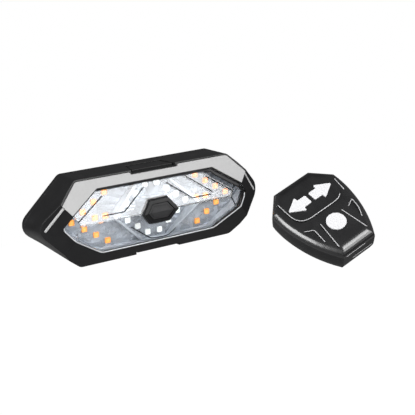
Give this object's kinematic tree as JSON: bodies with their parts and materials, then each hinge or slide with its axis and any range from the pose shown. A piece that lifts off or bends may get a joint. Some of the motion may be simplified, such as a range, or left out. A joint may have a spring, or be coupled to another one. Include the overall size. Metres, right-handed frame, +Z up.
{
  "type": "bicycle turn signal light",
  "caption": "Hexagonal rear bicycle lamp with silver trim, clear ridged lens over amber arrow and white LEDs, hex mode button and strap saddle, with its wireless arrow-key remote.",
  "frame": {"origin": "middle of the seat post that the lamp's saddle clamps to, at half the lamp's height", "axes": "+Z up along the seat post, the lamp faces -Y, +X to the right as seen from the front"},
  "size_m": [0.1333, 0.0997, 0.0426],
  "materials": {
    "body_black": "satin moulded black",
    "trim_silver": "satin silver",
    "lens_clear": "clear polished",
    "seal_rubber": "soft black",
    "partition_white": "moulded pale grey",
    "seal_silicone": "pale silicone",
    "board_white": "white solder mask",
    "led_amber": "amber resin",
    "led_white": "white resin",
    "collar_black": "moulded black",
    "button_rubber": "soft touch dark grey",
    "switch_metal": "stamped",
    "battery_wrap": "shrink film",
    "usb_steel": "nickel plated",
    "flap_rubber": "soft black",
    "screw_steel": "zinc plated",
    "pad_rubber": "ribbed soft black",
    "remote_black": "polished black",
    "key_white": "white rubberised",
    "membrane_grey": "silicone",
    "board_green": "green solder mask",
    "cell_steel": "stainless",
    "clip_brass": "spring brass",
    "pilot_dark": "smoked",
    "base_grey": "moulded dark grey"
  },
  "bodies": {
    "root": {"front_housing": "body_black", "silver_trim": "trim_silver", "lens": "lens_clear", "lens_seal": "seal_silicone", "light_partition": "partition_white", "led_board": "board_white", "amber_leds_left": "led_amber", "amber_leds_right": "led_amber", "white_leds": "led_white", "button_collar": "collar_black", "mode_switch": "switch_metal", "battery": "battery_wrap", "usb_socket": "usb_steel", "back_cover": "body_black", "back_seal": "seal_rubber", "back_screws": "screw_steel", "mount_bracket": "body_black", "bracket_screws": "screw_steel", "saddle_pad": "pad_rubber"},
    "mode_button": {"mode_button": "button_rubber"},
    "port_flap": {"port_flap": "flap_rubber"},
    "remote": {"remote_top_shell": "remote_black", "remote_bottom_shell": "remote_black", "key_membrane": "membrane_grey", "remote_board": "board_green", "remote_switches": "switch_metal", "coin_cell": "cell_steel", "cell_clip": "clip_brass", "pilot_light": "pilot_dark", "remote_screws": "screw_steel", "strap_base": "base_grey", "bar_pad": "pad_rubber"},
    "left_arrow_key": {"left_arrow_key": "key_white"},
    "right_arrow_key": {"right_arrow_key": "key_white"},
    "round_key": {"round_key": "key_white"}
  },
  "joints": [
    {"name": "mode_button_press", "type": "slide", "parent": "root", "child": "mode_button", "axis": [0, 1, 0], "range_m": [0, 0.0008], "stiffness_N_per_m": 1200},
    {"name": "port_flap_hinge", "type": "hinge", "parent": "root", "child": "port_flap", "pos_m": [0.023, -0.03189, -0.019], "axis": [0, 1, 0], "range_deg": [0, 95]},
    {"name": "remote_lift", "type": "slide", "parent": "root", "child": "remote", "axis": [0, 0, 1], "range_m": [0, 0.05]},
    {"name": "left_arrow_key_press", "type": "slide", "parent": "remote", "child": "left_arrow_key", "axis": [0.3284, 0.485, -0.8105], "range_m": [0, 0.0005], "stiffness_N_per_m": 600},
    {"name": "right_arrow_key_press", "type": "slide", "parent": "remote", "child": "right_arrow_key", "axis": [0.3284, 0.485, -0.8105], "range_m": [0, 0.0005], "stiffness_N_per_m": 600},
    {"name": "round_key_press", "type": "slide", "parent": "remote", "child": "round_key", "axis": [0.3284, 0.485, -0.8105], "range_m": [0, 0.0005], "stiffness_N_per_m": 600}
  ]
}
